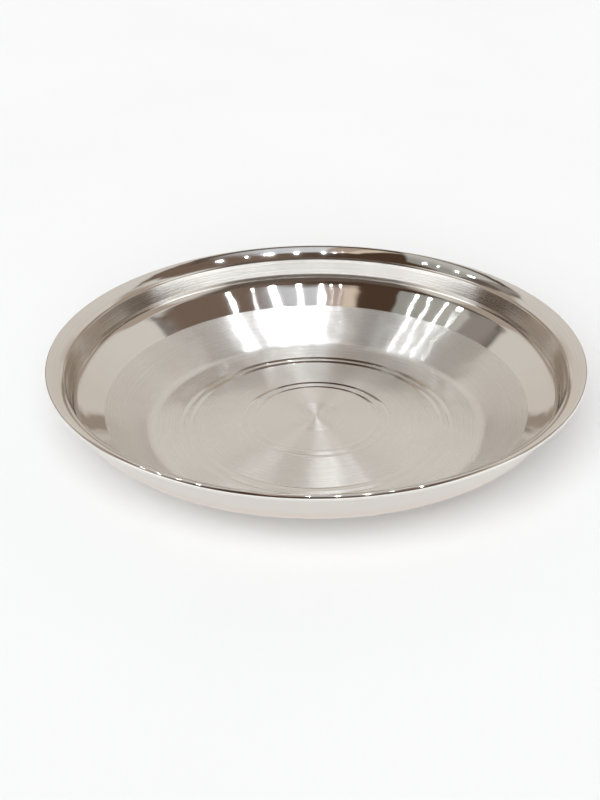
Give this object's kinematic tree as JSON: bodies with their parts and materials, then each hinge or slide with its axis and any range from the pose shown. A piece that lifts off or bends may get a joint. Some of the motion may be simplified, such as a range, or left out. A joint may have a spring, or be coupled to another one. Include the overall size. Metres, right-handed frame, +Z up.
{
  "type": "thali plate",
  "caption": "Round thali dinner plate of spun sheet metal: crowned floor with turned rings, sloping wall, rounded shoulder, neck and domed lip, its edge curled over a rim wire.",
  "frame": {"origin": "centre of the foot ring, on the table under the plate", "axes": "+Z up along the plate's axis, X and Y level and alike because the plate is round, +Y away from the viewer of the picture"},
  "size_m": [0.3, 0.3, 0.05],
  "materials": {
    "sheet": "turned satin floor and lower wall, mirror polished upper wall, neck and lip",
    "wire": "plain drawn wire"
  },
  "bodies": {
    "root": {"dish": "sheet", "rim_wire": "wire"}
  },
  "joints": []
}
